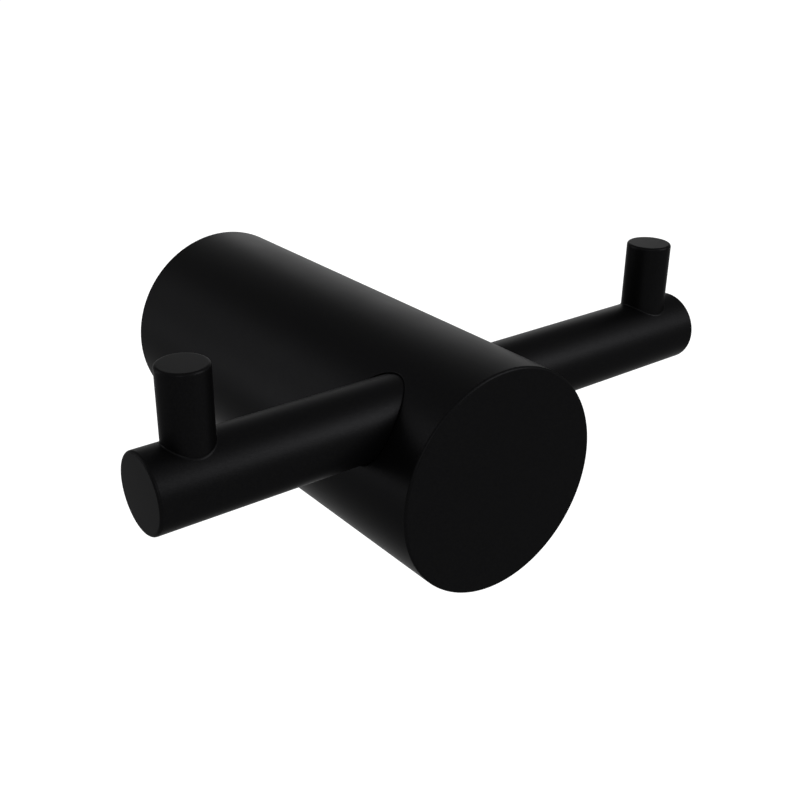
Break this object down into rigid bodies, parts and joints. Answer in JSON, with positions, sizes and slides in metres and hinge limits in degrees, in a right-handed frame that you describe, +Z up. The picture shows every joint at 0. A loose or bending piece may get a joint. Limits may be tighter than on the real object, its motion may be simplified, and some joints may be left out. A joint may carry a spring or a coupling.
{
  "type": "robe hook",
  "caption": "Wall-mounted robe hook: a round barrel carries a cross bar with an upright pin near each end, to hang robes or towels by their loops.",
  "frame": {"origin": "centre of the barrel's wall face, on the barrel's axis and in the plane of the wall", "axes": "+Y into the wall, so the front faces -Y; +X along the cross bar, to the right of a viewer who faces the wall; +Z up, the way the pins point"},
  "size_m": [0.07, 0.057, 0.0303],
  "materials": {
    "black_coat": "satin to matte black coat over metal",
    "bracket_metal": "turned, plain zinc grey",
    "screw_steel": "black oxide"
  },
  "bodies": {
    "root": {"barrel": "black_coat", "cross_bar": "black_coat", "hook_pin_left": "black_coat", "hook_pin_right": "black_coat", "wall_bracket": "bracket_metal", "grub_screw": "screw_steel", "bar_lock_screw": "screw_steel"}
  },
  "joints": []
}
